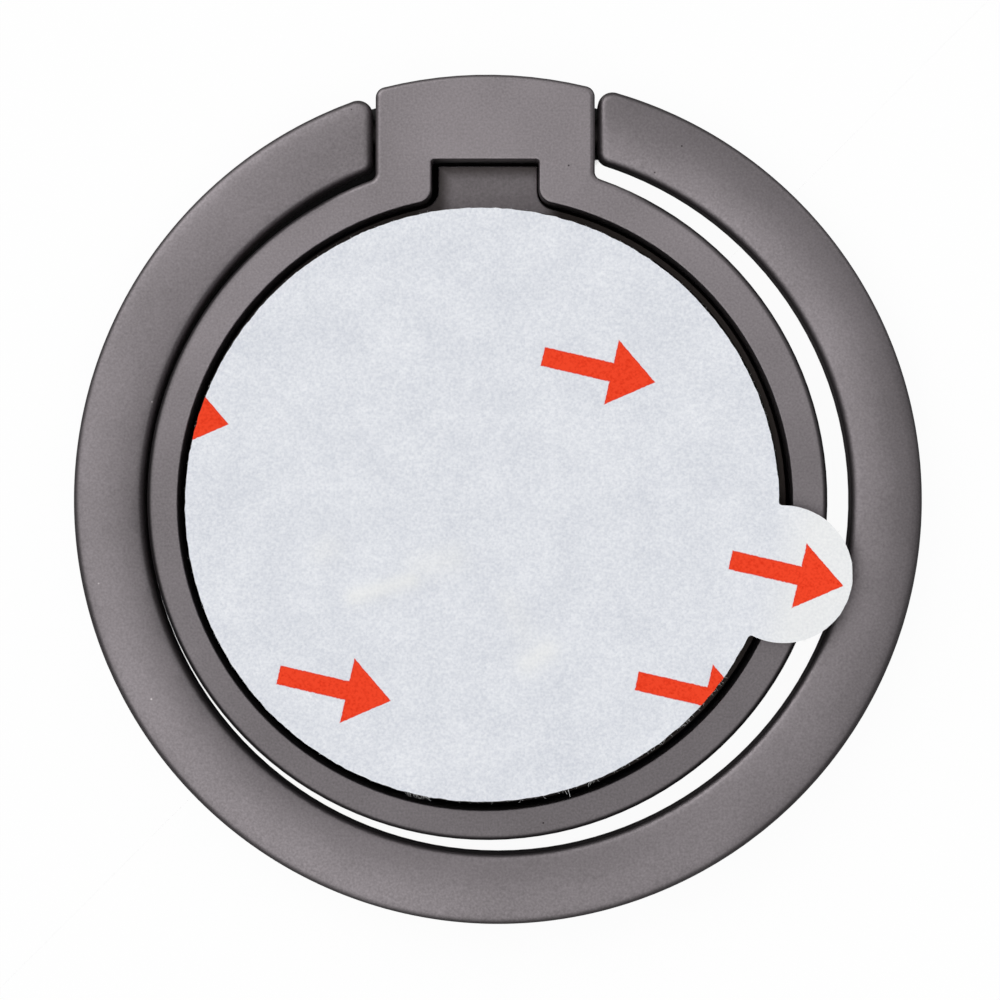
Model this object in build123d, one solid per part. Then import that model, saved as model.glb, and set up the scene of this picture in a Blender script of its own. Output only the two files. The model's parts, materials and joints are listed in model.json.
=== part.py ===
"""Phone ring holder: a finger ring hinged on a two-piece body that swivels on a stick-on base.

It lies on its front, with the stick-on side up. The swivel axis is Z, the hinge is at +Y,
and z = 0 is the front face. Millimetres.
"""

import os

from build123d import *

# Finger ring
RING_OUTER_D = 40.0
RING_WIDTH = 3.34
RING_THICKNESS = 2.6
RING_CROWN = 0.18  # how far the middle of each face stands above its edges
RING_EDGE_RADIUS = 0.36
RING_END_OUTER_RADIUS = 0.7
RING_END_INNER_RADIUS = 0.6
RING_END_GAP = 0.15  # between each ring end and the hinge block
RING_GAP_LEFT = 0.175  # between ring and frame on -X; the hinge is made off centre
RING_GAP_RIGHT = 1.165

# Hinge
BLOCK_WIDTH = 10.3
BLOCK_CORNER_RADIUS = 0.5
SHOULDER_RADIUS = 0.35  # where the block's sides meet the round frame
AXLE_D = 1.5
AXLE_INSET = 2.7  # from the ring's outside to the axle's centre
AXLE_CLEARANCE = 0.05
AXLE_GRIP = 1.8  # length held in each ring end
AXLE_SEAT_CLEARANCE = 0.01
AXLE_END_GAP = 0.05

# Frame and front plate
RIM_OFFSET_X = 0.1  # the outside of frame and plate lies a little off the swivel axis
RIM_OFFSET_Y = 0.13
FRAME_RIM_WIDTH = 1.57  # in the mean, because the opening is centred on the axis
FRAME_EDGE_RADIUS = 0.25
OPENING_EDGE_RADIUS = 0.1
NOTCH_WIDTH = 5.05
NOTCH_MOUTH_RADIUS = 0.7
NOTCH_END_RADIUS = 0.15
NOTCH_WEB = 0.5  # metal left between the notch and the axle's channel
COVER_THICKNESS = 0.8
COVER_EDGE_RADIUS = 0.3
BOSS_HEIGHT = 0.8
BOSS_CLEARANCE = 0.15
BOSS_EDGE_RADIUS = 0.06
TONGUE_GAP_LEFT = 0.3  # the plate sits a little to +X in the notch
TONGUE_GAP_RIGHT = 0.06
TONGUE_END_GAP = 0.2

# Swivel
RIVET_SHANK_D = 4.0
RIVET_HEAD_D = 7.6
RIVET_HEAD_THICKNESS = 0.23
RIVET_HEAD_RECESS = 0.02  # below the base disc's face
RIVET_CLEARANCE = 0.05
RIVET_SEAT_CLEARANCE = 0.01
RIVET_END_GAP = 0.05
RIVET_SKIN = 0.4  # front plate left under the rivet's hole
COUNTERBORE_CLEARANCE = 0.3
SPRING_HEIGHT = 0.25
SPRING_SHEET = 0.1
SPRING_BORE_CLEARANCE = 0.1
SLIP_WASHER_WIDTH = 6.7
SLIP_WASHER_THICKNESS = 0.2
SLIP_WASHER_CLEARANCE = 0.3

# Base, pad and liner
BASE_GAP = 0.52  # between the base disc and the frame's opening
BASE_FLOOR = 0.5  # base disc left under the spring
BASE_EDGE_RADIUS = 0.15
PAD_THICKNESS = 1.1
PAD_PROUD = 0.6  # how far the pad stands above the frame
PAD_OFFSET_X = -0.14  # the pad is stuck on by hand, a little off centre
PAD_OFFSET_Y = -0.09
LINER_THICKNESS = 0.1
TAB_RADIUS = 3.22
TAB_OUT = 0.56  # the tab's centre lies this far outside the liner's edge
TAB_ANGLE = -13.0  # degrees from +X
TAB_ROOT_RADIUS = 0.4

# Sizes that follow
ring_outer_r = RING_OUTER_D / 2
ring_inner_r = ring_outer_r - RING_WIDTH
ring_middle_r = ring_outer_r - RING_WIDTH / 2
ring_centre_x = RIM_OFFSET_X + (RING_GAP_RIGHT - RING_GAP_LEFT) / 2
ring_end_x = BLOCK_WIDTH / 2 + RING_END_GAP
frame_r = ring_inner_r - (RING_GAP_LEFT + RING_GAP_RIGHT) / 2
opening_r = frame_r - FRAME_RIM_WIDTH
boss_r = opening_r - BOSS_CLEARANCE
base_r = opening_r - BASE_GAP

axle_y = RIM_OFFSET_Y + ring_outer_r - AXLE_INSET
channel_r = AXLE_D / 2 + AXLE_CLEARANCE
axle_half_length = ring_end_x + AXLE_GRIP
notch_end_y = axle_y - channel_r - NOTCH_WEB
tongue_end_y = notch_end_y - TONGUE_END_GAP
tongue_left_x = -NOTCH_WIDTH / 2 + TONGUE_GAP_LEFT
tongue_right_x = NOTCH_WIDTH / 2 - TONGUE_GAP_RIGHT

rivet_r = RIVET_SHANK_D / 2
rivet_head_r = RIVET_HEAD_D / 2
counterbore_r = rivet_head_r + COUNTERBORE_CLEARANCE

# Heights above the front face
axle_z = COVER_THICKNESS + channel_r
ring_bottom_z = axle_z - RING_THICKNESS / 2
boss_top_z = COVER_THICKNESS + BOSS_HEIGHT
base_bottom_z = boss_top_z + SLIP_WASHER_THICKNESS
spring_bottom_z = base_bottom_z + BASE_FLOOR
head_bottom_z = spring_bottom_z + SPRING_HEIGHT
head_top_z = head_bottom_z + RIVET_HEAD_THICKNESS
base_top_z = head_top_z + RIVET_HEAD_RECESS
pad_top_z = base_top_z + PAD_THICKNESS
frame_top_z = pad_top_z - PAD_PROUD
rivet_bottom_z = RIVET_SKIN + RIVET_END_GAP

# How near to a place a corner or an edge must lie to count as there
NEAR = 1e-3


def plan_box(left: float, right: float, bottom: float, top: float) -> Sketch:
    """A rectangle in plan, given by its four sides."""
    middle = Pos((left + right) / 2, (bottom + top) / 2)
    return middle * Rectangle(right - left, top - bottom)


def raised(outline: Sketch, bottom: float, top: float) -> Part:
    """An outline in plan as a solid between two heights."""
    return Pos(0, 0, bottom) * extrude(outline, top - bottom)


def rod_along_x(radius: float, half_length: float) -> Part:
    """A rod on the hinge axis."""
    return Pos(0, axle_y, axle_z) * Rot(0, 90, 0) * Cylinder(radius, 2 * half_length)


def hinge_side_corners(outline: Sketch, *places: float) -> ShapeList:
    """The outline's corners at the given places along X, nearest to the swivel axis first."""
    found = outline.vertices().filter_by(
        lambda corner: corner.Y > 0 and any(abs(corner.X - x) < NEAR for x in places)
    )
    return found.sort_by(Axis.Y)


def highest_face(solid: Part) -> Face:
    """The face on top."""
    return solid.faces().sort_by(Axis.Z)[-1]


def body_outline() -> Sketch:
    """The outline that frame and front plate share: a disc with the hinge block on it."""
    half = BLOCK_WIDTH / 2
    rim_centre = Pos(RIM_OFFSET_X, RIM_OFFSET_Y)
    block = plan_box(-half, half, 0, RING_OUTER_D) & rim_centre * Circle(ring_outer_r)
    outline = rim_centre * Circle(frame_r) + block
    outline = fillet(hinge_side_corners(outline, -half, half)[2:], BLOCK_CORNER_RADIUS)
    return fillet(hinge_side_corners(outline, -half, half)[:2], SHOULDER_RADIUS)


def keyed_disc(radius: float, left: float, right: float, end: float, root: float) -> Sketch:
    """A disc with a square key towards the hinge, its two roots rounded."""
    outline = Circle(radius) + plan_box(left, right, 0, end)
    return fillet(hinge_side_corners(outline, left, right)[:2], root)


def finger_ring() -> Part:
    """The crowned ring, cut square for the hinge block, with a blind hole in each end."""
    outline = Pos(ring_centre_x, RIM_OFFSET_Y) * (Circle(ring_outer_r) - Circle(ring_inner_r))
    outline -= plan_box(-ring_end_x, ring_end_x, 0, RING_OUTER_D)
    inner_corners = hinge_side_corners(outline, -ring_end_x, ring_end_x)[:2]
    outline = fillet(inner_corners, RING_END_INNER_RADIUS)
    outer_corners = hinge_side_corners(outline, -ring_end_x, ring_end_x)[-2:]
    outline = fillet(outer_corners, RING_END_OUTER_RADIUS)
    ring = raised(outline, ring_bottom_z, ring_bottom_z + RING_THICKNESS)

    # Each face is an arc in section, so the blank's section is where two large circles meet.
    crown_r = ((RING_WIDTH / 2) ** 2 + RING_CROWN**2) / (2 * RING_CROWN)
    drop = crown_r - RING_THICKNESS / 2
    section = Pos(0, -drop) * Circle(crown_r) & Pos(0, drop) * Circle(crown_r)
    section &= Rectangle(2 * RING_WIDTH, RING_THICKNESS)
    blank = revolve(Plane.XZ * Pos(ring_middle_r, 0) * section, Axis.Z)
    ring &= Pos(ring_centre_x, RIM_OFFSET_Y, axle_z) * blank

    rims = ring.edges() - ring.edges().filter_by(Axis.Z)
    ring = fillet(rims, RING_EDGE_RADIUS)
    seat_r = AXLE_D / 2 + AXLE_SEAT_CLEARANCE
    return ring - rod_along_x(seat_r, axle_half_length + AXLE_END_GAP)


def hinge_axle() -> Part:
    """The steel axle, held in both ring ends."""
    return rod_along_x(AXLE_D / 2, axle_half_length)


def hinge_frame() -> Part:
    """The rim and hinge block, with the notch and the channel that drops over the axle."""
    half = NOTCH_WIDTH / 2
    opening = keyed_disc(opening_r, -half, half, notch_end_y, NOTCH_MOUTH_RADIUS)
    opening = fillet(opening.vertices().sort_by(Axis.Y)[-2:], NOTCH_END_RADIUS)
    frame = raised(body_outline() - opening, COVER_THICKNESS, frame_top_z)
    frame = fillet(highest_face(frame).outer_wire().edges(), FRAME_EDGE_RADIUS)
    frame = fillet(highest_face(frame).inner_wires()[0].edges(), OPENING_EDGE_RADIUS)

    # The channel is round over the axle and open below it, where the front plate closes it.
    floor = plan_box(-BLOCK_WIDTH, BLOCK_WIDTH, axle_y - channel_r, axle_y + channel_r)
    mouth = raised(floor, 0, axle_z)
    return frame - rod_along_x(channel_r, BLOCK_WIDTH) - mouth


def front_plate() -> Part:
    """The front cover, with the boss and tongue that key it into the frame."""
    cover = raised(body_outline(), 0, COVER_THICKNESS)
    front = cover.faces().sort_by(Axis.Z)[0]
    cover = fillet(front.edges(), COVER_EDGE_RADIUS)
    root = NOTCH_MOUTH_RADIUS + BOSS_CLEARANCE
    boss_outline = keyed_disc(boss_r, tongue_left_x, tongue_right_x, tongue_end_y, root)
    boss = raised(boss_outline, COVER_THICKNESS, boss_top_z)
    boss = fillet(highest_face(boss).edges(), BOSS_EDGE_RADIUS)
    hole = raised(Circle(rivet_r + RIVET_SEAT_CLEARANCE), RIVET_SKIN, boss_top_z)
    return cover + boss - hole


def swivel_rivet() -> Part:
    """The rivet, set in the front plate, whose head holds the base disc down on its spring."""
    shank = raised(Circle(rivet_r), rivet_bottom_z, head_bottom_z)
    return shank + raised(Circle(rivet_head_r), head_bottom_z, head_top_z)


def disc_spring() -> Part:
    """A coned washer: its outer edge on the base disc, its inner edge under the rivet's head."""
    inner_r = rivet_r + SPRING_BORE_CLEARANCE
    section = Polyline(
        (inner_r, 0, head_bottom_z),
        (inner_r, 0, head_bottom_z - SPRING_SHEET),
        (rivet_head_r, 0, spring_bottom_z),
        (rivet_head_r, 0, spring_bottom_z + SPRING_SHEET),
        close=True,
    )
    return revolve(make_face(section), Axis.Z)


def slip_washer() -> Part:
    """The plastic washer that base disc and front plate turn on."""
    inner_r = rivet_r + SLIP_WASHER_CLEARANCE
    outline = Circle(inner_r + SLIP_WASHER_WIDTH) - Circle(inner_r)
    return raised(outline, boss_top_z, base_bottom_z)


def base_disc() -> Part:
    """The steel disc that stays on the phone, sunk in the middle for the rivet's head."""
    disc = raised(Circle(base_r), base_bottom_z, base_top_z)
    disc = fillet(highest_face(disc).edges(), BASE_EDGE_RADIUS)
    disc -= raised(Circle(counterbore_r), spring_bottom_z, base_top_z)
    return disc - raised(Circle(rivet_r + RIVET_CLEARANCE), base_bottom_z, base_top_z)


def adhesive_pad() -> Part:
    """The foam pad, sticky on both faces."""
    pad = raised(Circle(base_r), base_top_z, pad_top_z)
    return Pos(PAD_OFFSET_X, PAD_OFFSET_Y) * pad


def release_liner() -> Part:
    """The paper liner on the pad, with its round pull tab."""
    outline = Circle(base_r) + Pos(base_r + TAB_OUT, 0) * Circle(TAB_RADIUS)
    roots = outline.vertices().filter_by(lambda corner: abs(corner.Y) > NEAR)
    outline = Rot(0, 0, TAB_ANGLE) * fillet(roots, TAB_ROOT_RADIUS)
    liner = raised(outline, pad_top_z, pad_top_z + LINER_THICKNESS)
    return Pos(PAD_OFFSET_X, PAD_OFFSET_Y) * liner


SUB_PARTS = (
    finger_ring,
    hinge_axle,
    hinge_frame,
    front_plate,
    swivel_rivet,
    disc_spring,
    slip_washer,
    base_disc,
    adhesive_pad,
    release_liner,
)

os.makedirs("parts", exist_ok=True)
for make in SUB_PARTS:
    export_step(make(), f"parts/{make.__name__}.step")
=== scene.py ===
"""Looks of the phone ring holder, lying on its front with the stick-on side up.

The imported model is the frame: every piece here is in its metres and rides on one of its bodies.
The plated castings are smooth-shaded copies of their CAD nodes, the foam pad and the paper liner
are built here, and the hidden hardware keeps its CAD nodes with materials of its own.
"""

import json
import logging
import math
import random
from abc import ABC, abstractmethod
from dataclasses import dataclass, field
from enum import Enum
from typing import Any

import bmesh
import bpy
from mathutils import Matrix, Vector, geometry, noise

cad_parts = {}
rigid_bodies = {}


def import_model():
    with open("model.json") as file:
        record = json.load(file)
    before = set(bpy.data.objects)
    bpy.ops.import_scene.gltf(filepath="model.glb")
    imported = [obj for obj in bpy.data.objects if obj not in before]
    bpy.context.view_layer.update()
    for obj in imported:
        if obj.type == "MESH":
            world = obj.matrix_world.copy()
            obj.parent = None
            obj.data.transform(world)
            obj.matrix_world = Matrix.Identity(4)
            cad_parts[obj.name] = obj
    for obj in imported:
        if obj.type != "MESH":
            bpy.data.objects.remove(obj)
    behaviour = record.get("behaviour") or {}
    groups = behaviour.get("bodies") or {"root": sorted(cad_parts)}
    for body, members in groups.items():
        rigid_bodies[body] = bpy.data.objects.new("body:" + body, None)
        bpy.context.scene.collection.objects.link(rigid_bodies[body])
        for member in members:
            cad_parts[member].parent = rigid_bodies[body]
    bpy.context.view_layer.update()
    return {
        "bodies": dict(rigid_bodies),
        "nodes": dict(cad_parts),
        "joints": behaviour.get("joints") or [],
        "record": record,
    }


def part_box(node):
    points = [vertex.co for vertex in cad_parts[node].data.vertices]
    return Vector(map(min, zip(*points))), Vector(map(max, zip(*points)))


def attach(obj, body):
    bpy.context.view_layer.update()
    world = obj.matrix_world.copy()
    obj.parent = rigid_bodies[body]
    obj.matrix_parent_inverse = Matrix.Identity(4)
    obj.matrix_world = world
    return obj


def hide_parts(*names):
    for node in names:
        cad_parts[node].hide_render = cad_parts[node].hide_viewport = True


LOG = logging.getLogger("ring_holder")
MM = 0.001
Frame = dict[str, Any]
Colour = tuple[float, float, float, float]
Point2 = tuple[float, float]
Inputs = dict[Any, Any] | tuple[Any, ...]
Tree = bpy.types.NodeTree
Node = bpy.types.Node
Socket = bpy.types.NodeSocket
Material = bpy.types.Material
Piece = bpy.types.Object
MATH = "ShaderNodeMath"
VECTOR = "ShaderNodeVectorMath"
AXES = "ShaderNodeSeparateXYZ"
RANGE = "ShaderNodeMapRange"
MIX = "ShaderNodeMix"
NOISE = "ShaderNodeTexNoise"
CELLS = "ShaderNodeTexVoronoi"
BUMP = "ShaderNodeBump"
SHADER = "ShaderNodeBsdfPrincipled"


class Body(Enum):
    """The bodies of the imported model."""

    BASE = "base"
    TURNING = "turning_body"
    RING = "ring"


class Slot(Enum):
    """The record's material slots."""

    GUNMETAL = "gunmetal"
    STEEL = "steel"
    WASHER = "washer_plastic"
    FOAM = "foam"
    PAPER = "liner_paper"


# Helpers


def linear(code: str) -> Colour:
    """Turns an sRGB hex colour into the linear values that shaders take.

    Args:
        code: The colour as six hex digits after a hash sign.

    Returns:
        Linear red, green and blue, and an alpha of 1.
    """
    values = [int(code[i : i + 2], 16) / 255 for i in (1, 3, 5)]
    red, green, blue = (v / 12.92 if v <= 0.04045 else ((v + 0.055) / 1.055) ** 2.4 for v in values)
    return (red, green, blue, 1.0)


def add_node(tree: Tree, kind: str, inputs: Inputs = (), **settings: Any) -> Node:
    """Adds a node with its settings, and fills or links its inputs.

    Args:
        tree: The node tree that gets the node.
        kind: The node's type name.
        inputs: Values, output sockets or nodes, in the node's own order or by input name or index. A node
            stands for its first output.
        **settings: Properties of the node itself.

    Returns:
        The new node.
    """
    node = tree.nodes.new(kind)
    for name, value in settings.items():
        setattr(node, name, value)
    for key, value in inputs.items() if isinstance(inputs, dict) else enumerate(inputs):
        source = value.outputs[0] if isinstance(value, Node) else value
        if isinstance(source, Socket):
            tree.links.new(source, node.inputs[key])
        else:
            node.inputs[key].default_value = source
    return node


def per_mm(size: float) -> float:
    """Gives the texture scale whose pattern repeats about every size millimetres."""
    return 1 / (size * MM)


def new_piece(name: str, mesh: bpy.types.Mesh) -> Piece:
    """Links a mesh into the scene as an object at the origin."""
    piece = bpy.data.objects.new(name, mesh)
    bpy.context.scene.collection.objects.link(piece)
    return piece


def settle(piece: Piece) -> None:
    """Turns a piece with its modifiers into a plain mesh and removes the modifiers.

    Args:
        piece: The object whose evaluated shape becomes its own mesh.
    """
    seen = piece.evaluated_get(bpy.context.evaluated_depsgraph_get())
    mesh = bpy.data.meshes.new_from_object(seen)
    mesh.name = piece.name
    piece.modifiers.clear()
    piece.data = mesh


# Finishes


@dataclass(frozen=True)
class Finish(ABC):
    """A real material with the way its surface was made."""

    name: str

    def material(self) -> Material:
        """Builds the node material.

        Returns:
            The finished material.
        """
        material = bpy.data.materials.new(self.name)
        material.use_nodes = True
        tree = material.node_tree
        tree.nodes.clear()
        place = add_node(tree, "ShaderNodeTexCoord").outputs["Object"]
        add_node(tree, "ShaderNodeOutputMaterial", {"Surface": self.surface(tree, place)})
        return material

    @abstractmethod
    def surface(self, tree: Tree, place: Socket) -> Socket:
        """Adds the shader and what feeds it.

        Args:
            tree: The material's node tree.
            place: Object coordinates, in metres.

        Returns:
            The shader's output socket.
        """


@dataclass(frozen=True)
class BlastedGunmetal(Finish):
    """Zinc casting, bead blasted and plated gunmetal.

    The blasting gives a fine even grain and a satin sheen with no sharp reflections. Plating and
    handling leave slow, faint changes of tone, and a few dark pits and pale dust specks.
    """

    name: str = "zinc_blasted_gunmetal_plated"
    tone: str = "#898386"
    dark_tone: str = "#716C6E"
    pit_tone: str = "#3A3436"
    dust_tone: str = "#B9B4B4"
    roughness: float = 0.46
    roughness_spread: float = 0.06
    grain_mm: float = 0.11  # real blasting grain is finer; this is as coarse as it needs to show
    grain_height_mm: float = 0.004
    grain_share: float = 0.55
    cloud_mm: float = 6.0
    contrast: Point2 = (0.3, 0.7)
    speck_mm: float = 1.3
    speck_edge: Point2 = (0.02, 0.045)
    speck_chance: float = 0.16

    def surface(self, tree: Tree, place: Socket) -> Socket:
        """Adds the plated metal's shader; see Finish.surface for arguments and result."""
        cloud = add_node(tree, NOISE, {"Vector": place, "Scale": per_mm(self.cloud_mm), "Detail": 3.0})
        grain = add_node(tree, NOISE, {"Vector": place, "Scale": per_mm(self.grain_mm), "Detail": 2.0})
        mixed = add_node(tree, MIX, {"Factor": self.grain_share, 2: cloud, 3: grain}, data_type="FLOAT")
        shade = add_node(tree, RANGE, (mixed, *self.contrast))
        colours = {"Factor": shade, 6: linear(self.tone), 7: linear(self.dark_tone)}
        tone = add_node(tree, MIX, colours, data_type="RGBA").outputs[2]
        smooth, rough = self.roughness - self.roughness_spread, self.roughness + self.roughness_spread
        bump = {"Strength": 0.5, "Distance": self.grain_height_mm * MM, "Height": grain}
        shader = add_node(
            tree,
            SHADER,
            {
                "Base Color": self.toned(tree, place, self.specked(tree, place, tone)),
                "Metallic": 1.0,
                "Roughness": add_node(tree, RANGE, (grain, 0.0, 1.0, smooth, rough)),
                "Normal": add_node(tree, BUMP, bump),
            },
        )
        return shader.outputs["BSDF"]

    def specked(self, tree: Tree, place: Socket, tone: Socket) -> Socket:
        """Adds the scattered pits and dust.

        Args:
            tree: The material's node tree.
            place: Object coordinates, in metres.
            tone: The plating's colour.

        Returns:
            The colour with the specks in it.
        """
        specks = add_node(tree, CELLS, {"Vector": place, "Scale": per_mm(self.speck_mm)})
        spot = add_node(tree, RANGE, (specks.outputs["Distance"], *self.speck_edge, 1.0, 0.0))
        chance = add_node(tree, "ShaderNodeSeparateColor", {"Color": specks.outputs["Color"]}).outputs["Red"]
        for test, limit, colour in (
            ("LESS_THAN", self.speck_chance, self.pit_tone),
            ("GREATER_THAN", 1 - self.speck_chance, self.dust_tone),
        ):
            chosen = add_node(tree, MATH, (chance, limit), operation=test)
            share = add_node(tree, MATH, (spot, chosen), operation="MULTIPLY")
            colours = {"Factor": share, 6: tone, 7: linear(colour)}
            tone = add_node(tree, MIX, colours, data_type="RGBA").outputs[2]
        return tone

    def toned(self, tree: Tree, place: Socket, tone: Socket) -> Socket:
        """Gives the colour as it is, with no painted shade."""
        return tone


@dataclass(frozen=True)
class FramePaintedShadeGunmetal(BlastedGunmetal):
    """The same plating on the frame, with painted shade.

    Its tone is painted darker the further it lies from the hinge and lighter near it, for the light that
    falls off across the frame, and a painted dark band along the rim's rounded edge stands in for its shade.
    """

    name: str = "zinc_blasted_gunmetal_plated_frame_painted_shade"
    centre: Point2 = (0.0, 0.0)
    rim: float = 16.0 * MM
    top: float = 3.3 * MM
    far: Point2 = (-16.0 * MM, 0.74)
    near: Point2 = (19.0 * MM, 1.18)
    edge: float = 0.36 * MM
    edge_depth: float = 0.25 * MM
    edge_level: float = 0.22
    shoulder: Point2 = (13.8 * MM, 15.0 * MM)

    def toned(
        self, tree: Tree, place: Socket, tone: Socket
    ) -> Socket:
        """Paints shade: the tone changes from end to end and the rim's edge is painted dark.

        Args:
            tree: The material's node tree.
            place: Object coordinates, in metres.
            tone: The plating's colour.

        Returns:
            The colour with the painted shade, lighter towards the hinge.
        """
        axes = add_node(tree, AXES, {"Vector": place}).outputs
        along = add_node(tree, MATH, (axes["X"], self.centre[0]), operation="SUBTRACT")
        across = add_node(tree, MATH, (axes["Y"], self.centre[1]), operation="SUBTRACT")
        out = add_node(tree, MATH, (along, along), operation="MULTIPLY")
        out = add_node(tree, MATH, (across, across, out), operation="MULTIPLY_ADD")
        out = add_node(tree, MATH, (out,), operation="SQRT")
        # Painted shade: a dark band along the rim's rounded edge, away from the hinge block.
        rim_painted_shade: float | Node = 1.0
        for limits in (
            (out, self.rim - self.edge, self.rim, 0.0, 1.0),
            (axes["Z"], self.top - 2 * self.edge_depth, self.top - self.edge_depth, 0.0, 1.0),
            (axes["Y"], *self.shoulder, 1.0, 0.0),
        ):
            share = add_node(tree, RANGE, limits, interpolation_type="SMOOTHSTEP")
            rim_painted_shade = add_node(tree, MATH, (rim_painted_shade, share), operation="MULTIPLY")
        level: float | Node = 1.0
        (far, far_level), (near, near_level) = self.far, self.near
        # Painted shade and light: darker away from the hinge, lighter near it.
        painted_falloff = (axes["Y"], far, near, far_level, near_level)
        for limits in ((rim_painted_shade, 0.0, 1.0, 1.0, self.edge_level), painted_falloff):
            share = add_node(tree, RANGE, limits, interpolation_type="SMOOTHSTEP")
            level = add_node(tree, MATH, (level, share), operation="MULTIPLY")
        return add_node(tree, VECTOR, {0: tone, "Scale": level}, operation="SCALE").outputs[0]


@dataclass(frozen=True)
class PlatePaintedShadeGunmetal(BlastedGunmetal):
    """The same plating on the front plate, with painted shade in its recesses.

    The boss round the pad is painted near black and the groove's floor black, standing in for the shade
    in the narrow groove. The key in the hinge block's notch is painted a little darker than the rest, with
    painted shadow deeper into its corners, and a painted highlight along its rounded edges.
    """

    name: str = "zinc_blasted_gunmetal_plated_plate_painted_shade"
    boss_shade_tone: str = "#383331"
    floor_tone: str = "#070606"
    edge_highlight_tone: str = "#A8A3A4"
    boss_top: float = 1.6 * MM
    floor: float = 0.8 * MM
    key_side: float = -2.225 * MM
    key_end: float = 15.93 * MM
    key_middle: float = 0.12 * MM
    key_half: float = 2.2 * MM
    key_fade: float = 1.3 * MM
    key_from: float = 8.0 * MM
    key_share: float = 0.22
    corner: float = 0.75 * MM
    corner_share: float = 0.85
    edge: float = 0.055 * MM
    edge_top: float = 0.0055 * MM

    def toned(
        self, tree: Tree, place: Socket, tone: Socket
    ) -> Socket:
        """Paints shade into the groove, the boss and the key, and a highlight on the key's edges.

        Args:
            tree: The material's node tree.
            place: Object coordinates, in metres.
            tone: The plating's colour.

        Returns:
            The colour, near black in the groove.
        """
        axes = add_node(tree, AXES, {"Vector": place}).outputs
        aside = add_node(tree, MATH, (axes["X"], self.key_middle), operation="SUBTRACT")
        aside = add_node(tree, MATH, (aside,), operation="ABSOLUTE")
        fade = (aside, self.key_half, self.key_half + self.key_fade, 0.0, 1.0)
        beside = add_node(tree, RANGE, fade, interpolation_type="SMOOTHSTEP")
        behind = add_node(tree, MATH, (axes["Y"], self.key_from), operation="LESS_THAN")
        beside = add_node(tree, MATH, (beside, behind), operation="MAXIMUM")
        # Painted shadow: the key is painted darker into its corners by the notch's side and end.
        from_side = add_node(tree, MATH, (axes["X"], self.key_side), operation="SUBTRACT")
        from_end = add_node(tree, MATH, (self.key_end, axes["Y"]), operation="SUBTRACT")
        inset = add_node(tree, MATH, (from_side, from_end), operation="MINIMUM")
        shade = (inset, 0.0, self.corner, self.corner_share, self.key_share)
        corner = add_node(tree, RANGE, shade, interpolation_type="SMOOTHSTEP")
        dark = add_node(tree, MATH, (beside, corner), operation="MAXIMUM")
        # Painted shade on the groove's floor and the boss; painted highlight on the key's rounded edge.
        inside = add_node(tree, MATH, (axes["Z"], self.floor - self.edge), operation="GREATER_THAN")
        below = add_node(tree, MATH, (axes["Z"], self.boss_top - self.edge), operation="LESS_THAN")
        turned = add_node(tree, MATH, (axes["Z"], self.boss_top - self.edge_top), operation="LESS_THAN")
        highlight_mask = add_node(tree, MATH, (turned, below), operation="SUBTRACT")
        on_key = add_node(tree, MATH, (1.0, beside), operation="SUBTRACT")
        highlight_mask = add_node(tree, MATH, (highlight_mask, on_key), operation="MULTIPLY")
        for part, colour in ((dark, self.boss_shade_tone), (highlight_mask, self.edge_highlight_tone), (below, self.floor_tone)):
            share = add_node(tree, MATH, (part, inside), operation="MULTIPLY")
            colours = {"Factor": share, 6: tone, 7: linear(colour)}
            tone = add_node(tree, MIX, colours, data_type="RGBA").outputs[2]
        return tone


@dataclass(frozen=True)
class TurnedSteel(Finish):
    """Low-carbon steel, turned or stamped and zinc plated.

    Fine tool lines and a greyish bright plating with a slow change of tone.
    """

    name: str = "steel_turned_zinc_plated"
    tone: str = "#A6A6A8"
    dark_tone: str = "#8C8C90"
    roughness: float = 0.34
    line_mm: float = 0.15
    cloud_mm: float = 3.0

    def surface(self, tree: Tree, place: Socket) -> Socket:
        """Adds the steel's shader; see Finish.surface for arguments and result."""
        cloud = add_node(tree, NOISE, {"Vector": place, "Scale": per_mm(self.cloud_mm), "Detail": 4.0})
        lines = add_node(
            tree,
            "ShaderNodeTexWave",
            {"Vector": place, "Scale": per_mm(self.line_mm) / 20, "Distortion": 1.5, "Detail": 2.0},
            wave_type="RINGS",
            rings_direction="Z",
        )
        colours = {"Factor": cloud, 6: linear(self.tone), 7: linear(self.dark_tone)}
        bump = {"Strength": 0.3, "Distance": 0.004 * MM, "Height": lines.outputs["Fac"]}
        shader = add_node(
            tree,
            SHADER,
            {
                "Base Color": add_node(tree, MIX, colours, data_type="RGBA").outputs[2],
                "Metallic": 1.0,
                "Roughness": self.roughness,
                "Normal": add_node(tree, BUMP, bump),
            },
        )
        return shader.outputs["BSDF"]


@dataclass(frozen=True)
class MouldedAcetal(Finish):
    """Acetal, injection moulded: milky white, waxy and faintly uneven."""

    name: str = "acetal_moulded_white"
    tone: str = "#DCDBD6"
    dark_tone: str = "#CFCEC8"
    cloud_mm: float = 2.0

    def surface(self, tree: Tree, place: Socket) -> Socket:
        """Adds the acetal's shader; see Finish.surface for arguments and result."""
        cloud = add_node(tree, NOISE, {"Vector": place, "Scale": per_mm(self.cloud_mm), "Detail": 2.0})
        colours = {"Factor": cloud, 6: linear(self.tone), 7: linear(self.dark_tone)}
        tone = add_node(tree, MIX, colours, data_type="RGBA").outputs[2]
        return add_node(tree, SHADER, {"Base Color": tone, "Roughness": 0.42, "IOR": 1.48}).outputs["BSDF"]


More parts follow.
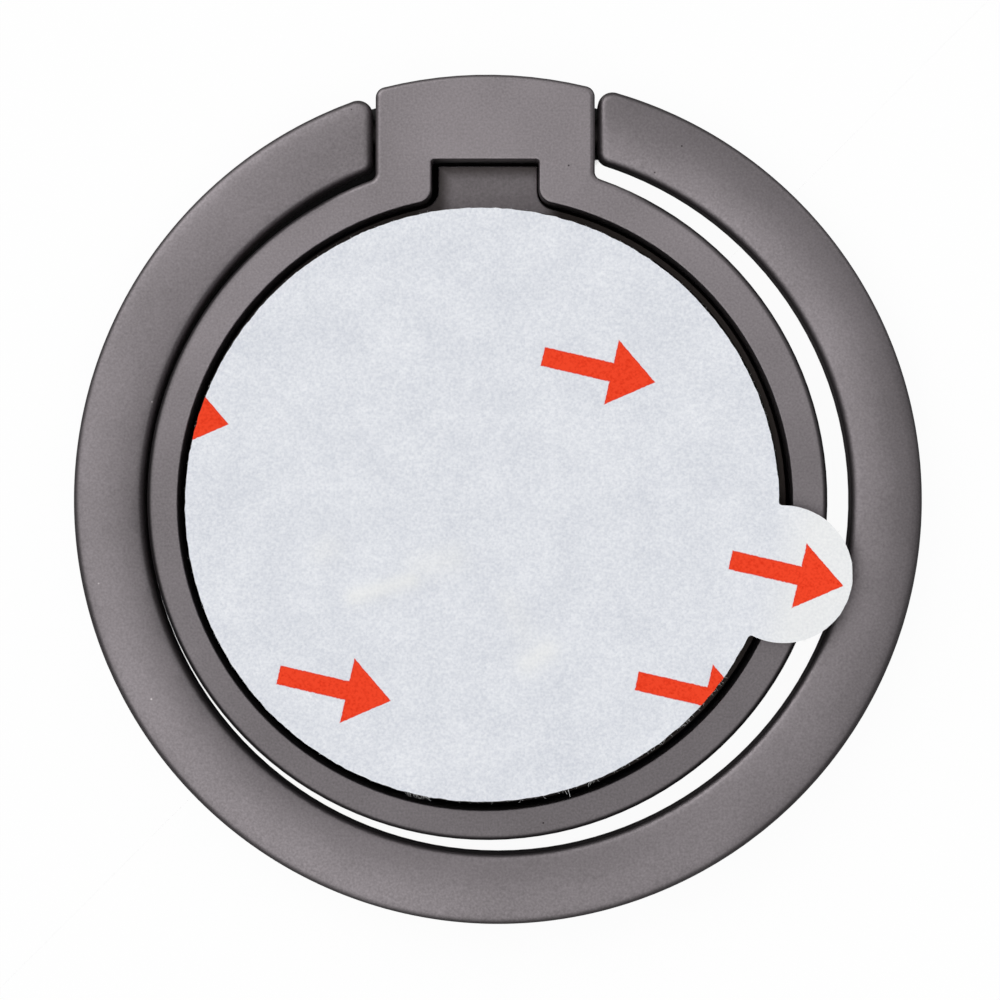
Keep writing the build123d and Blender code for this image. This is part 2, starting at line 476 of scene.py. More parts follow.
@dataclass(frozen=True)
class CutFoam(Finish):
    """Black acrylic foam tape, die cut: dull, with cut cells along its edge."""

    name: str = "acrylic_foam_die_cut"
    tone: str = "#16171B"
    cell_tone: str = "#08080A"
    cell_mm: float = 0.12

    def surface(self, tree: Tree, place: Socket) -> Socket:
        """Adds the foam's shader; see Finish.surface for arguments and result."""
        cells = add_node(tree, CELLS, {"Vector": place, "Scale": per_mm(self.cell_mm)}).outputs["Distance"]
        colours = {"Factor": cells, 6: linear(self.cell_tone), 7: linear(self.tone)}
        tone = add_node(tree, MIX, colours, data_type="RGBA").outputs[2]
        bump = add_node(tree, BUMP, {"Strength": 0.6, "Distance": 0.03 * MM, "Height": cells})
        foam = {"Base Color": tone, "Roughness": 0.7, "IOR": 1.47, "Normal": bump}
        return add_node(tree, SHADER, foam).outputs["BSDF"]


@dataclass(frozen=True)
class PrintedPaper(Finish):
    """Bleached kraft liner paper, calendered and printed with red peel arrows.

    The pulp gives a fine grain and a faint mottle, and the creases and the pull tab are painted a lighter,
    warmer white, a painted highlight. The printing plate leaves a solid red that is a little uneven inside
    and darker along its squeezed edges. The arrows point to the pull tab.
    """

    name: str = "kraft_paper_bleached_printed"
    tone: str = "#F2F4F8"
    dark_tone: str = "#CED2DB"
    paper_highlight_tone: str = "#F4F4F0"
    ink: str = "#F44626"
    dark_ink: str = "#E03010"
    centre: Point2 = (0.0, 0.0)
    turn: float = 0.0
    mottle_mm: float = 2.2
    grain_share: float = 0.7
    contrast: Point2 = (0.27, 0.73)
    fibre_mm: float = 0.12  # real pulp fibres are a quarter of this; drawn as coarse as it needs to show
    arrows_mm: tuple[Point2, ...] = ((3.9, 7.4), (-15.1, 1.0), (-4.8, -9.9), (11.6, -6.4), (14.6, 0.1))
    arrow_length_mm: float = 5.4
    arrow_head_mm: float = 2.1
    arrow_half_mm: float = 1.55
    shaft_half_mm: float = 0.45
    shaft_overlap_mm: float = 0.3
    ink_edge_mm: float = 0.03
    ink_ragged_mm: float = 0.09
    squeeze_mm: float = 0.07
    ink_uneven: Point2 = (0.45, 0.75)

    def surface(self, tree: Tree, place: Socket) -> Socket:
        """Adds the paper's shader; see Finish.surface for arguments and result."""
        mottle = add_node(tree, NOISE, {"Vector": place, "Scale": per_mm(self.mottle_mm), "Detail": 4.0})
        grain = add_node(tree, NOISE, {"Vector": place, "Scale": per_mm(self.fibre_mm), "Detail": 3.0})
        pulp = add_node(tree, MIX, {"Factor": self.grain_share, 2: mottle, 3: grain}, data_type="FLOAT")
        shade = add_node(tree, RANGE, (pulp, *self.contrast))
        # Painted highlight: creases and the pull tab are painted a lighter, warmer white.
        painted_highlight = add_node(tree, "ShaderNodeAttribute", attribute_name="painted_highlight").outputs["Fac"]
        edge = self.arrow_edge(tree, place, grain.outputs["Fac"])
        limits = (edge, -self.ink_edge_mm, self.ink_edge_mm, 1.0, 0.0)
        cover = add_node(tree, RANGE, limits, interpolation_type="SMOOTHSTEP")
        squeeze = add_node(tree, RANGE, (edge, -self.squeeze_mm, -self.ink_edge_mm))
        uneven = add_node(tree, RANGE, (grain, *self.ink_uneven))
        deep = add_node(tree, MATH, (squeeze, uneven), operation="MAXIMUM")
        colours = {"Factor": deep, 6: linear(self.ink), 7: linear(self.dark_ink)}
        ink = add_node(tree, MIX, colours, data_type="RGBA").outputs[2]
        tone: Colour | Socket = linear(self.tone)
        for share, colour in ((shade, linear(self.dark_tone)), (painted_highlight, linear(self.paper_highlight_tone)), (cover, ink)):
            tone = add_node(tree, MIX, {"Factor": share, 6: tone, 7: colour}, data_type="RGBA").outputs[2]
        bump = {"Strength": 0.35, "Distance": 0.01 * MM, "Height": pulp}
        shader = add_node(
            tree,
            SHADER,
            {
                "Base Color": tone,
                "Roughness": 0.78,
                "IOR": 1.45,
                "Specular IOR Level": 0.12,
                "Normal": add_node(tree, BUMP, bump),
            },
        )
        return shader.outputs["BSDF"]

    def arrow_edge(self, tree: Tree, place: Socket, grain: Socket) -> Socket:
        """Adds the distance to the nearest printed arrow's edge.

        Args:
            tree: The material's node tree.
            place: Object coordinates, in metres.
            grain: The paper's grain, which makes the ink's edges slightly uneven.

        Returns:
            A socket with the distance in millimetres, below 0 on the ink.
        """
        turned = {"Location": (*self.centre, 0.0), "Rotation": (0, 0, self.turn), "Scale": (MM, MM, MM)}
        local = add_node(tree, "ShaderNodeMapping", {"Vector": place, **turned}, vector_type="TEXTURE")
        axes = add_node(tree, AXES, {"Vector": local}).outputs
        tip = self.arrow_length_mm / 2
        neck = tip - self.arrow_head_mm
        slope = self.arrow_half_mm / self.arrow_head_mm
        nearest: float | Node = 100.0
        for at_along, at_across in self.arrows_mm:
            along = add_node(tree, MATH, (axes["X"], at_along), operation="SUBTRACT")
            across = add_node(tree, MATH, (axes["Y"], at_across), operation="SUBTRACT")
            across = add_node(tree, MATH, (across,), operation="ABSOLUTE")
            tail = add_node(tree, MATH, (-tip, along), operation="SUBTRACT")
            front = add_node(tree, MATH, (along, neck + self.shaft_overlap_mm), operation="SUBTRACT")
            side = add_node(tree, MATH, (across, self.shaft_half_mm), operation="SUBTRACT")
            shaft = add_node(tree, MATH, (tail, front), operation="MAXIMUM")
            shaft = add_node(tree, MATH, (shaft, side), operation="MAXIMUM")
            barb = add_node(tree, MATH, (across, tip * slope), operation="SUBTRACT")
            barb = add_node(tree, MATH, (along, slope, barb), operation="MULTIPLY_ADD")
            back = add_node(tree, MATH, (neck, along), operation="SUBTRACT")
            head = add_node(tree, MATH, (barb, back), operation="MAXIMUM")
            arrow = add_node(tree, MATH, (shaft, head), operation="MINIMUM")
            nearest = add_node(tree, MATH, (nearest, arrow), operation="MINIMUM")
        rough = add_node(tree, MATH, (grain, 0.5), operation="SUBTRACT")
        return add_node(tree, MATH, (rough, self.ink_ragged_mm, nearest), operation="MULTIPLY_ADD").outputs[0]


@dataclass(frozen=True)
class TornFibre(Finish):
    """Pulp fibres and threads of glue torn out at the cut: white, dull and slightly uneven."""

    name: str = "pulp_fibre_torn"
    tone: str = "#F0F0EE"
    dark_tone: str = "#C9CACC"
    fleck_mm: float = 0.15

    def surface(self, tree: Tree, place: Socket) -> Socket:
        """Adds the fibres' shader; see Finish.surface for arguments and result."""
        fleck = add_node(tree, NOISE, {"Vector": place, "Scale": per_mm(self.fleck_mm), "Detail": 2.0})
        colours = {"Factor": fleck, 6: linear(self.tone), 7: linear(self.dark_tone)}
        tone = add_node(tree, MIX, colours, data_type="RGBA").outputs[2]
        return add_node(tree, SHADER, {"Base Color": tone, "Roughness": 0.7, "IOR": 1.47}).outputs["BSDF"]


# Pieces


@dataclass
class Casting:
    """One plated casting: a merged and smooth-shaded copy of its CAD node."""

    node: str
    body: Body
    merge: float = 0.0005 * MM
    crease: float = math.radians(52)

    def build(self, frame: Frame, material: Material) -> Piece:
        """Makes the copy and lets it stand for the node.

        Args:
            material: The plated finish.

        Returns:
            The finished piece.
        """
        mesh = frame["nodes"][self.node].data.copy()
        mesh.name = f"{self.node}_casting"
        shape = bmesh.new()
        shape.from_mesh(mesh)
        bmesh.ops.remove_doubles(shape, verts=shape.verts, dist=self.merge)
        for face in shape.faces:
            face.smooth = True
        for edge in shape.edges:
            edge.smooth = edge.calc_face_angle(math.pi) < self.crease
        shape.to_mesh(mesh)
        shape.free()
        mesh.materials.clear()
        mesh.materials.append(material)
        piece = new_piece(f"{self.node}_casting", mesh)
        weigh = piece.modifiers.new("weigh", "WEIGHTED_NORMAL")
        weigh.keep_sharp = True
        settle(piece)
        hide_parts(self.node)
        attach(piece, self.body.value)
        LOG.info("%s: %d faces", piece.name, len(piece.data.polygons))
        return piece


@dataclass
class FoamPad:
    """The round foam pad, die cut: flat faces and a slightly uneven cut edge."""

    node: str = "adhesive_pad"
    points: int = 480
    steps: int = 8
    uneven: float = 0.035 * MM
    lump: float = 0.8 * MM
    hollow: float = 0.05 * MM
    lo: Vector = field(init=False)
    hi: Vector = field(init=False)

    def __post_init__(self) -> None:
        """Takes the pad's box from the frame."""
        self.lo, self.hi = (Vector(corner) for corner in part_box(self.node))

    @property
    def centre(self) -> Vector:
        """The middle of the pad's box."""
        return (self.lo + self.hi) / 2

    @property
    def radius(self) -> float:
        """The pad's radius."""
        return (self.hi.x - self.lo.x) / 2

    def build(self, material: Material) -> Piece:
        """Builds the closed disc with its cut edge.

        Args:
            material: The foam finish.

        Returns:
            The finished piece.
        """
        shape = bmesh.new()
        loops = []
        for k in range(self.steps + 1):
            share = k / self.steps
            z = self.lo.z + share * (self.hi.z - self.lo.z)
            waist = self.hollow * math.sin(math.pi * share)
            loop = []
            for i in range(self.points):
                angle = math.tau * i / self.points
                out = Vector((math.cos(angle), math.sin(angle), 0))
                rim = Vector((self.centre.x, self.centre.y, z)) + out * self.radius
                drop = self.uneven * (1 + noise.noise(rim / self.lump))
                loop.append(shape.verts.new(rim - out * (waist + drop)))
            loops.append(loop)
        for lower, upper in zip(loops, loops[1:]):
            for i in range(self.points):
                j = (i + 1) % self.points
                shape.faces.new((lower[i], lower[j], upper[j], upper[i])).smooth = True
        shape.faces.new(loops[-1])
        shape.faces.new(loops[0][::-1])
        mesh = bpy.data.meshes.new("foam_pad")
        shape.to_mesh(mesh)
        shape.free()
        mesh.materials.append(material)
        piece = new_piece("foam_pad", mesh)
        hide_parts(self.node)
        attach(piece, Body.BASE.value)
        LOG.info("%s: %d faces", piece.name, len(mesh.polygons))
        return piece


@dataclass(frozen=True)
class Crease:
    """A faint ridge in the paper between two points, given from the pad's centre, with a painted highlight
    along it.
    """

    start: Point2
    end: Point2
    height: float = 0.03 * MM
    half_width: float = 0.5 * MM
    painted_highlight: float = 0.5

    def share(self, place: Vector) -> float:
        """Gives how near a point of the sheet is to the ridge.

        Args:
            place: The point, from the pad's centre.

        Returns:
            1 on the ridge, falling to 0 beside it.
        """
        start, end = Vector(self.start), Vector(self.end)
        along = geometry.intersect_point_line(place.to_2d(), start, end)[1]
        foot = start.lerp(end, min(max(along, 0.0), 1.0))
        off = (place.to_2d() - foot).length / self.half_width
        return math.exp(-off * off)


@dataclass
class Liner:
    """The paper release liner: a disc with a round pull tab, lifted slightly at the tab."""

    pad: FoamPad
    node: str = "release_liner"
    tab_radius: float = 3.22 * MM
    tab_out: float = 0.56 * MM
    tab_turn: float = math.radians(-13.0)
    root_radius: float = 0.15 * MM
    edge_step: float = 0.11 * MM
    grid_step: float = 0.26 * MM
    grid_row: float = 0.866  # of a step, for even triangles
    ragged: float = 0.03 * MM
    ragged_size: float = 0.45 * MM
    wave: float = 0.03 * MM
    wave_size: float = 5.0 * MM
    tab_lift: float = 0.3 * MM
    tab_bend: float = 0.4 * MM
    tab_highlight: float = 0.5
    rim_angle: float = math.radians(40)
    creases: tuple[Crease, ...] = (
        Crease((-6.0 * MM, -4.3 * MM), (-3.3 * MM, -3.5 * MM), half_width=0.42 * MM, painted_highlight=0.5),
        Crease((-3.0 * MM, -2.9 * MM), (-1.4 * MM, -2.5 * MM), half_width=0.7 * MM, painted_highlight=0.28),
        Crease((2.1 * MM, -7.4 * MM), (3.0 * MM, -6.8 * MM), half_width=0.55 * MM, painted_highlight=0.42),
        Crease((-7.6 * MM, -2.2 * MM), (-7.2 * MM, -1.9 * MM), half_width=0.6 * MM, painted_highlight=0.2),
        Crease((1.2 * MM, -4.4 * MM), (2.0 * MM, -6.2 * MM), half_width=0.6 * MM, painted_highlight=0.16),
    )
    lo: Vector = field(init=False)
    hi: Vector = field(init=False)

    def __post_init__(self) -> None:
        """Takes the liner's box from the frame."""
        self.lo, self.hi = (Vector(corner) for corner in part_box(self.node))

    @property
    def thickness(self) -> float:
        """The paper's thickness."""
        return self.hi.z - self.lo.z

    def arc(self, middle: Point2, radius: float, start: float, end: float) -> list[Point2]:
        """Gives points along an arc, without its last one.

        Args:
            middle: The arc's centre.
            radius: Its radius.
            start: The angle it starts at.
            end: The angle it ends at, smaller than start for a clockwise arc.

        Returns:
            The points, about an edge step apart.
        """
        count = max(3, round(abs(end - start) * radius / self.edge_step))
        angles = [start + (end - start) * i / count for i in range(count)]
        return [(middle[0] + radius * math.cos(a), middle[1] + radius * math.sin(a)) for a in angles]

    def cut_line(self) -> list[Point2]:
        """Works out the die-cut outline, with the tab on +X of the disc's centre.

        Returns:
            The outline's points, anticlockwise.
        """
        disc = self.pad.radius
        out = disc + self.tab_out
        to_disc = disc + self.root_radius
        to_tab = self.tab_radius + self.root_radius
        at_disc = math.acos((to_disc**2 + out**2 - to_tab**2) / (2 * to_disc * out))
        root = (to_disc * math.cos(at_disc), to_disc * math.sin(at_disc))
        at_tab = math.atan2(root[1], root[0] - out)
        line = self.arc((0.0, 0.0), disc, at_disc, math.tau - at_disc)
        line += self.arc((root[0], -root[1]), self.root_radius, math.pi - at_disc, math.pi - at_tab)
        line += self.arc((out, 0.0), self.tab_radius, -at_tab, at_tab)
        line += self.arc(root, self.root_radius, math.pi + at_tab, math.pi + at_disc)
        return line

    def outline(self) -> list[Vector]:
        """Places the cut line on the pad, turned to the tab's side, with a slightly ragged edge.

        Returns:
            The outline's points in the frame, flat, at height 0.
        """
        turn = math.cos(self.tab_turn), math.sin(self.tab_turn)
        points = []
        for x, y in self.cut_line():
            place = Vector((x * turn[0] - y * turn[1], x * turn[1] + y * turn[0], 0))
            rag = self.ragged * noise.noise(place / self.ragged_size)
            rag += self.ragged / 2 * noise.noise(place / (self.ragged_size / 3))
            place += place.normalized() * rag
            points.append(place + Vector((self.pad.centre.x, self.pad.centre.y, 0)))
        return points

    def height(self, place: Vector) -> float:
        """Gives how far the paper stands above its flat place.

        Args:
            place: A point of the sheet in the frame.

        Returns:
            The rise in metres.
        """
        flat = Vector((place.x - self.pad.centre.x, place.y - self.pad.centre.y, 0))
        rise = self.wave * (0.5 + 0.5 * noise.noise(flat / self.wave_size))
        rise += sum(crease.height * crease.share(flat) for crease in self.creases)
        return rise + self.tab_lift * self.past_pad(flat) ** 1.5

    def past_pad(self, flat: Vector) -> float:
        """Gives how far out on the tab a point is.

        Args:
            flat: The point, from the pad's centre.

        Returns:
            0 on the pad, about 1 at the tab's end.
        """
        along = flat.x * math.cos(self.tab_turn) + flat.y * math.sin(self.tab_turn)
        return max(0.0, along - (self.pad.radius - self.tab_bend)) / (self.tab_radius + self.tab_out)

    def build(self, material: Material) -> Piece:
        """Fills the outline with a fine mesh, shapes it and gives it its thickness.

        Args:
            material: The paper finish.

        Returns:
            The finished piece.
        """
        rim = self.outline()
        spots = [point.to_2d() for point in rim]
        edges = [(i, (i + 1) % len(rim)) for i in range(len(rim))]
        inner = self.pad.radius - self.grid_step / 2
        reach = math.ceil((self.pad.radius + self.tab_out + self.tab_radius) / self.grid_step)
        tab = Vector((math.cos(self.tab_turn), math.sin(self.tab_turn))) * (self.pad.radius + self.tab_out)
        for row in range(-reach, reach + 1):
            for column in range(-reach, reach + 1):
                spot = Vector((column + 0.5 * (row % 2), row * self.grid_row)) * self.grid_step
                on_tab = (spot - tab).length < self.tab_radius - self.grid_step / 2
                if spot.length < inner or on_tab:
                    spots.append(spot + self.pad.centre.to_2d())
        found, _, faces, *_ = geometry.delaunay_2d_cdt(spots, edges, [], 1, 1e-9)
        places = [Vector((p.x, p.y, self.hi.z + self.height(p.to_3d()))) for p in found]
        mesh = bpy.data.meshes.new("liner")
        mesh.from_pydata(places, [], faces)
        mesh.shade_smooth()
        mesh.materials.append(material)
        # Painted highlight: lighter along the creases and out on the pull tab.
        painted_highlight = mesh.attributes.new("painted_highlight", "FLOAT", "POINT")
        for spot, value in zip(found, painted_highlight.data):
            flat = spot.to_3d() - self.pad.centre
            highlight_mask = max(crease.painted_highlight * crease.share(flat) for crease in self.creases)
            value.value = max(highlight_mask, self.tab_highlight * min(1.0, 2 * self.past_pad(flat)))
        piece = new_piece("liner", mesh)
        thick = piece.modifiers.new("thick", "SOLIDIFY")
        thick.thickness = self.thickness
        thick.offset = -1.0
        settle(piece)
        piece.data.set_sharp_from_angle(angle=self.rim_angle)
        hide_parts(self.node)
        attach(piece, Body.BASE.value)
        LOG.info("%s: %d faces", piece.name, len(piece.data.polygons))
        return piece

    def declare(self) -> None:
        """Works out the area of the cut outline, and does nothing with it.
        """
        line = self.cut_line()
        pairs = zip(line, line[1:] + line[:1])
        area = sum(a[0] * b[1] - b[0] * a[1] for a, b in pairs) / 2


@dataclass(frozen=True)
class Tuft:
    """A stretch of the liner's edge with torn fibres: its angles, how many and how long they are."""

    start: float
    end: float
    count: int
    reach: float


@dataclass
class EdgeFibres:
    """Fine torn fibres along the liner's edge, more and longer ones along its lower side."""

    liner: Liner
    radius: float = 0.011 * MM
    length: float = 0.4 * MM
    sides: int = 5
    steps: int = 6
    swing: float = 1.45
    droop: float = 0.4
    shortest: float = 0.35
    sunk: float = 0.06 * MM
    seed: int = 7
    tufts: tuple[Tuft, ...] = (
        Tuft(5, 250, 150, 0.3),
        Tuft(255, 260, 26, 0.6),
        Tuft(262, 300, 45, 0.45),
        Tuft(300, 325, 60, 0.5),
        Tuft(335, 358, 24, 0.3),
        Tuft(282, 292, 6, 1.0),
    )

    def tree(self, material: Material) -> Tree:
        """Builds the node tree that sets curved fibres along a line.

        Args:
            material: The fibres' finish.

        Returns:
            The tree, with inputs Length and Seed. It reads the points' own share of the length, "reach".
        """
        tree = bpy.data.node_groups.new("edge_fibres", "GeometryNodeTree")
        face = tree.interface
        face.new_socket("Edge", in_out="INPUT", socket_type="NodeSocketGeometry")
        face.new_socket("Length", in_out="INPUT", socket_type="NodeSocketFloat")
        face.new_socket("Seed", in_out="INPUT", socket_type="NodeSocketInt")
        face.new_socket("Fibres", in_out="OUTPUT", socket_type="NodeSocketGeometry")
        given = add_node(tree, "NodeGroupInput").outputs
        spreads = ((-math.pi, math.pi), (0, self.droop), (-self.swing, self.swing), (self.shortest, 1.0))
        picks = []
        for key, (low, high) in enumerate(spreads, 1):
            seed = add_node(tree, MATH, (given["Seed"], float(key)), operation="ADD")
            limits = {2: low, 3: high, "Seed": seed}
            picks.append(add_node(tree, "FunctionNodeRandomValue", limits, data_type="FLOAT").outputs[1])
        roll, droop, swing, share = picks
        points = add_node(tree, "GeometryNodeMeshToPoints", {"Mesh": given["Edge"]})
        place = add_node(tree, "GeometryNodeInputPosition")
        outward = add_node(tree, VECTOR, (place, tuple(self.liner.pad.centre)), operation="SUBTRACT")
        flat = add_node(tree, VECTOR, (outward, (1.0, 1.0, 0.0)), operation="MULTIPLY")
        facing = add_node(tree, "FunctionNodeAlignRotationToVector", {"Vector": flat}, axis="X")
        turn = add_node(tree, "ShaderNodeCombineXYZ", {"X": roll, "Y": droop, "Z": swing})
        turn = add_node(tree, "FunctionNodeEulerToRotation", {"Euler": turn})
        turns = {"Rotation": facing, "Rotate By": turn}
        turned = add_node(tree, "FunctionNodeRotateRotation", turns, rotation_space="LOCAL")
        line = {"Resolution": self.steps, "Start": (0, 0, 0), "Middle": (0.5, 0.4, 0), "End": (1, 0.1, 0)}
        bend = add_node(tree, "GeometryNodeCurveQuadraticBezier", line)
        thin = add_node(tree, MATH, (self.radius, given["Length"]), operation="DIVIDE")
        section = {"Resolution": self.sides, "Radius": thin}
        ring = add_node(tree, "GeometryNodeCurvePrimitiveCircle", section, mode="RADIUS")
        sweep = {"Curve": bend, "Profile Curve": ring, "Fill Caps": True}
        fibre = add_node(tree, "GeometryNodeCurveToMesh", sweep)
        reach = add_node(tree, "GeometryNodeInputNamedAttribute", {"Name": "reach"}, data_type="FLOAT")
        size = add_node(tree, MATH, (reach, share), operation="MULTIPLY")
        size = add_node(tree, MATH, (size, given["Length"]), operation="MULTIPLY")
        settings = {"Points": points, "Instance": fibre, "Rotation": turned, "Scale": size}
        set_out = add_node(tree, "GeometryNodeInstanceOnPoints", settings)
        real = add_node(tree, "GeometryNodeRealizeInstances", {"Geometry": set_out})
        dressed = add_node(tree, "GeometryNodeSetMaterial", {"Geometry": real, "Material": material})
        add_node(tree, "NodeGroupOutput", {"Fibres": dressed})
        return tree

    def build(self, material: Material) -> Piece:
        """Sets the tufts along the liner's edge.

        Args:
            material: The fibres' finish.

        Returns:
            The finished piece.
        """
        pick = random.Random(self.seed)
        middle = self.liner.pad.centre
        rim = []
        for point in self.liner.outline():
            out = point - middle
            rim.append((math.degrees(math.atan2(out.y, out.x)) % 360, point))
        roots, shares = [], []
        for tuft in self.tufts:
            stretch = [point for angle, point in rim if tuft.start <= angle <= tuft.end]
            for point in pick.choices(stretch, k=tuft.count):
                inset = (point - middle).to_2d().normalized().to_3d() * self.radius
                height = self.liner.hi.z + self.liner.height(point) - self.sunk
                roots.append(point - inset + Vector((0, 0, height)))
                shares.append(tuft.reach)
        mesh = bpy.data.meshes.new("liner_edge_fibres")
        mesh.from_pydata(roots, [], [])
        mesh.attributes.new("reach", "FLOAT", "POINT").data.foreach_set("value", shares)
        piece = new_piece(mesh.name, mesh)
        maker = piece.modifiers.new("fibres", "NODES")
        maker.node_group = self.tree(material)
        values = {"Length": self.length, "Seed": self.seed}
        for socket in maker.node_group.interface.items_tree:
            if socket.in_out == "INPUT" and socket.name in values:
                maker[socket.identifier] = values[socket.name]
        settle(piece)
        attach(piece, Body.BASE.value)
        LOG.info("%s: %d faces", piece.name, len(piece.data.polygons))
        return piece


# Studio


@dataclass(frozen=True)
class SoftLight:
    """One soft light of the tent: its compass angle from +X, its height, strength and spread."""

    azimuth: float
    elevation: float
    strength: float
    sharpness: float = 12.0

    @property
    def direction(self) -> tuple[float, float, float]:
        """The unit vector that points to the light."""
        level = math.cos(math.radians(self.elevation))
        turn = math.radians(self.azimuth)
        return (level * math.cos(turn), level * math.sin(turn), math.sin(math.radians(self.elevation)))


@dataclass
class Studio:
    """A pale floor, soft light and a camera straight above the stick-on side."""

    picture_width: float = 47.364 * MM
    picture_centre: Point2 = (0.6945 * MM, 0.13 * MM)
    focus_height: float = 1.6 * MM
    camera_distance: float = 200.0 * MM
    sensor: float = 36.0
    floor_side: float = 6.0
    floor_drop: float = 0.01 * MM
    floor_tone: str = "#F4F4F4"
    shadow_keep: float = 0.05
    gap_reach: float = 0.8 * MM
    gap_dark: float = 0.15
    gap_clear: float = 0.1
    gap_lean: float = 0.62
    gap_side: tuple[float, float, float] = (-0.707, 0.707, 0.0)
    gap_within: float = 19.55 * MM
    slot_from: float = 16.36 * MM
    slot_half: float = 5.55 * MM
    slot_dark: float = 0.42
    mirror_reach: float = 5.0 * MM
    mirror_level: float = 0.12
    tent_level: float = 0.02
    lights: tuple[SoftLight, ...] = (
        SoftLight(135, 44, 3.35),
        SoftLight(270, 66, 1.8),
        SoftLight(225, 66, 1.65),
        SoftLight(135, 22, 1.52),
        SoftLight(45, 22, 1.15),
        SoftLight(262, 22, 1.05),
        SoftLight(70, 44, 0.9),
        SoftLight(0, 22, 0.43),
    )

    def build(self) -> None:
        """Builds floor, light and camera."""
        self.lay_floor()
        self.light_tent()
        self.set_camera()
        bpy.context.scene.view_settings.view_transform = "Standard"

    def lay_floor(self) -> None:
        """Lays the floor: white to the eye with painted shade in the ring's gaps, dim in reflections with
        painted shade near the object, and with the object's shadow kept on it.
        """
        material = bpy.data.materials.new("floor_paper_matt_white")
        material.use_nodes = True
        tree = material.node_tree
        tree.nodes.clear()
        ray = add_node(tree, "ShaderNodeLightPath").outputs
        seen = add_node(tree, MATH, (ray["Is Camera Ray"], ray["Is Glossy Ray"]), operation="MAXIMUM")
        seen = add_node(tree, MATH, (seen, ray["Is Transmission Ray"]), operation="MAXIMUM")
        share = add_node(tree, MATH, (seen, 1 - self.shadow_keep), operation="MULTIPLY")
        # Painted shade in reflections: the floor seen there glows dimly, and dimmer near the object.
        mirrored = add_node(tree, "ShaderNodeAmbientOcclusion", {"Distance": self.mirror_reach}, samples=4)
        dimmed = add_node(tree, MATH, (mirrored.outputs["AO"], self.mirror_level), operation="MULTIPLY")
        dim_glow = add_node(tree, "ShaderNodeEmission", {"Strength": dimmed})
        glow = add_node(tree, "ShaderNodeEmission", {"Strength": self.open_share(tree)})
        glow = add_node(tree, "ShaderNodeMixShader", (ray["Is Camera Ray"], dim_glow, glow))
        matt = add_node(tree, "ShaderNodeBsdfDiffuse", {"Color": linear(self.floor_tone)})
        mixed = add_node(tree, "ShaderNodeMixShader", (share, matt, glow))
        add_node(tree, "ShaderNodeOutputMaterial", {"Surface": mixed})
        half = self.floor_side / 2
        corners = [(-half, -half), (half, -half), (half, half), (-half, half)]
        mesh = bpy.data.meshes.new("floor")
        mesh.from_pydata([(x, y, -self.floor_drop) for x, y in corners], [], [(0, 1, 2, 3)])
        mesh.materials.append(material)
        new_piece("floor", mesh)

    def open_share(self, tree: Tree) -> Socket:
        """Adds the floor's brightness: white in the open, and painted shade, black, deep in the ring's narrow
        gaps and in the slots beside the hinge block.

        Args:
            tree: The floor's node tree.

        Returns:
            A socket from 0 to 1. The painted shade comes first in gaps on the upper left, which face away
            from the light.
        """
        place = add_node(tree, "ShaderNodeTexCoord").outputs["Object"]
        near = add_node(tree, "ShaderNodeAmbientOcclusion", {"Distance": self.gap_reach}, samples=24)
        unit = add_node(tree, VECTOR, (place,), operation="NORMALIZE")
        side = add_node(tree, VECTOR, (unit, self.gap_side), operation="DOT_PRODUCT").outputs["Value"]
        lean = add_node(tree, MATH, (side, 0.0), operation="MAXIMUM")
        lean = add_node(tree, MATH, (lean, 2.0), operation="POWER")
        lean = add_node(tree, MATH, (lean, self.gap_lean), operation="MULTIPLY")
        axes = add_node(tree, AXES, {"Vector": place}).outputs
        # Painted shadow: a fixed dark patch in the slots beside the hinge block, where the ring rests.
        aside = add_node(tree, MATH, (axes["X"],), operation="ABSOLUTE")
        beside = add_node(tree, MATH, (aside, self.slot_half), operation="LESS_THAN")
        slot = add_node(tree, MATH, (axes["Y"], self.slot_from), operation="GREATER_THAN")
        slot = add_node(tree, MATH, (slot, beside), operation="MULTIPLY")
        slot = add_node(tree, MATH, (slot, self.slot_dark), operation="MULTIPLY")
        dark = add_node(tree, MATH, (lean, slot), operation="MAXIMUM")
        away = add_node(tree, VECTOR, (place,), operation="LENGTH").outputs["Value"]
        within = add_node(tree, MATH, (away, self.gap_within), operation="LESS_THAN")
        dark = add_node(tree, MATH, (dark, within, self.gap_dark), operation="MULTIPLY_ADD")
        clear = add_node(tree, MATH, (dark, self.gap_clear), operation="ADD")
        limits = (near.outputs["AO"], dark, clear)
        return add_node(tree, RANGE, limits, interpolation_type="SMOOTHSTEP").outputs["Result"]

    def light_tent(self) -> None:
        """Lights the object from a tent with a few soft lights, most of them on the left."""
        world = bpy.data.worlds.new("soft_tent")
        world.use_nodes = True
        tree = world.node_tree
        tree.nodes.clear()
        way = add_node(tree, "ShaderNodeTexCoord").outputs["Generated"]
        level: float | Node = self.tent_level
        for light in self.lights:
            near = add_node(tree, VECTOR, (way, light.direction), operation="DOT_PRODUCT").outputs["Value"]
            fall = add_node(tree, MATH, (near, light.sharpness, -light.sharpness), operation="MULTIPLY_ADD")
            lobe = add_node(tree, MATH, (fall,), operation="EXPONENT")
            level = add_node(tree, MATH, (lobe, light.strength, level), operation="MULTIPLY_ADD")
        sky = add_node(tree, "ShaderNodeBackground", {"Strength": level})
        add_node(tree, "ShaderNodeOutputWorld", {"Surface": sky})
        bpy.context.scene.world = world

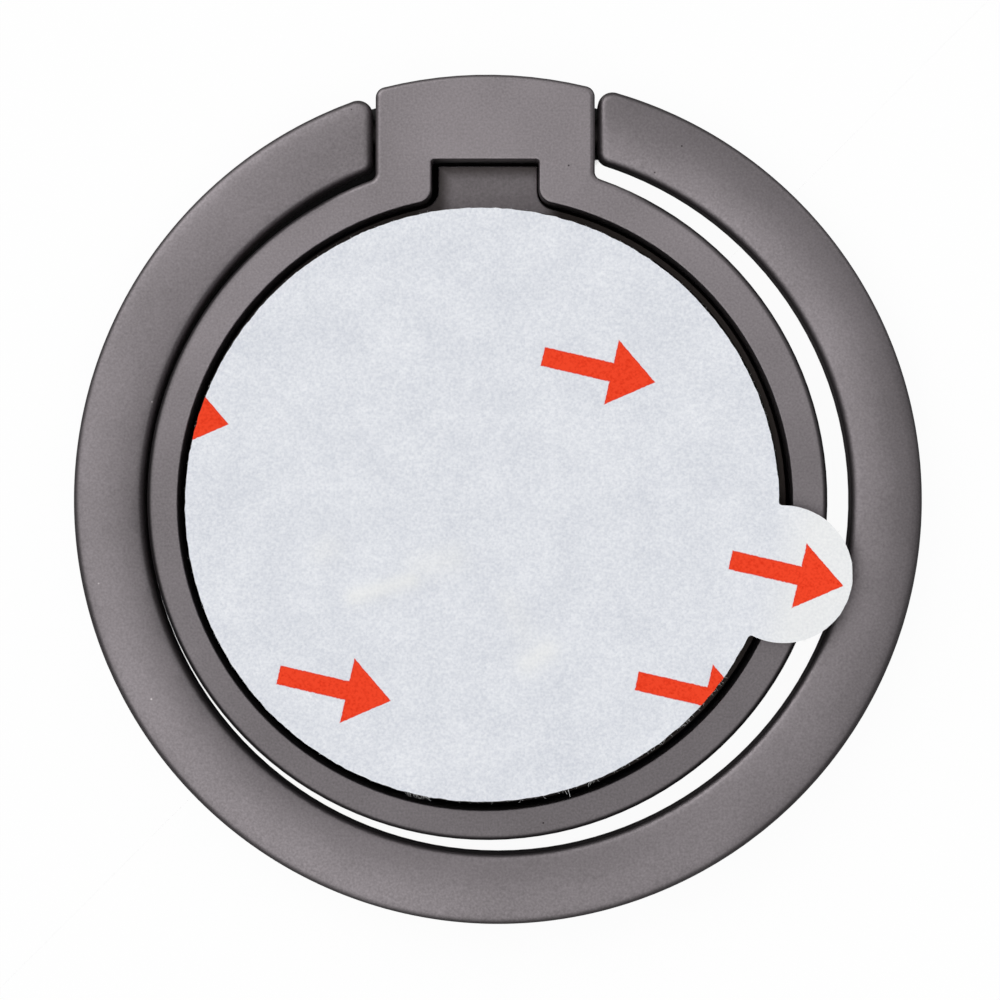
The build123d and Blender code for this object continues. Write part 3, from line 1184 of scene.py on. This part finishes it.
    def set_camera(self) -> None:
        """Sets the camera straight above, with the hinge at the top of the picture."""
        camera = bpy.data.cameras.new("camera")
        camera.sensor_width = self.sensor
        camera.lens = self.sensor * self.camera_distance / self.picture_width
        camera.clip_start = 0.01
        holder = bpy.data.objects.new("camera", camera)
        holder.location = (*self.picture_centre, self.focus_height + self.camera_distance)
        bpy.context.scene.collection.objects.link(holder)
        bpy.context.scene.camera = holder


# Assembly


def dress_node(frame: Frame, node: str, material: Material) -> None:
    """Gives a CAD node that stays in view its material.

    Args:
        node: The node's name.
        material: Its finish.
    """
    for slot in frame["nodes"][node].material_slots:
        slot.material = material
    LOG.info("%s: dressed with %s", node, material.name)


def main() -> None:
    """Builds the pieces in order, then the studio."""
    logging.basicConfig(level=logging.INFO, format="%(message)s")
    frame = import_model()

    gunmetal = BlastedGunmetal().material()
    Casting("finger_ring", Body.RING).build(frame, gunmetal)
    frame_lo, frame_hi = (Vector(corner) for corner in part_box("hinge_frame"))
    rim = (frame_hi.x - frame_lo.x) / 2
    # The frame's finish, with painted shade.
    frame_painted_shade = FramePaintedShadeGunmetal(centre=(frame_lo.x + rim, frame_lo.y + rim), rim=rim, top=frame_hi.z)
    Casting("hinge_frame", Body.TURNING).build(frame, frame_painted_shade.material())
    # The front plate's finish, with painted shade and a painted highlight.
    plate_painted_shade = PlatePaintedShadeGunmetal(boss_top=Vector(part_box("front_plate")[1]).z, floor=frame_lo.z)
    Casting("front_plate", Body.TURNING).build(frame, plate_painted_shade.material())

    steel = TurnedSteel().material()
    for node in ("swivel_rivet", "disc_spring"):
        dress_node(frame, node, steel)
    # Painted shade: the axle and the base disc are made near black, standing in for the shade in the gaps
    # where they show.
    dark_for_shade = TurnedSteel("steel_turned_dark_for_shade", tone="#2C2A29", dark_tone="#201E1E", roughness=0.5)
    dark_steel = dark_for_shade.material()
    for node in ("hinge_axle", "base_disc"):
        dress_node(frame, node, dark_steel)
    dress_node(frame, "slip_washer", MouldedAcetal().material())

    pad = FoamPad()
    foam = pad.build(CutFoam().material())
    liner = Liner(pad)
    paper = PrintedPaper(centre=tuple(pad.centre.to_2d()), turn=liner.tab_turn)
    sheet = liner.build(paper.material())
    fringe = EdgeFibres(liner).build(TornFibre().material())
    liner.declare()

    Studio().build()


if __name__ == "__main__":
    main()
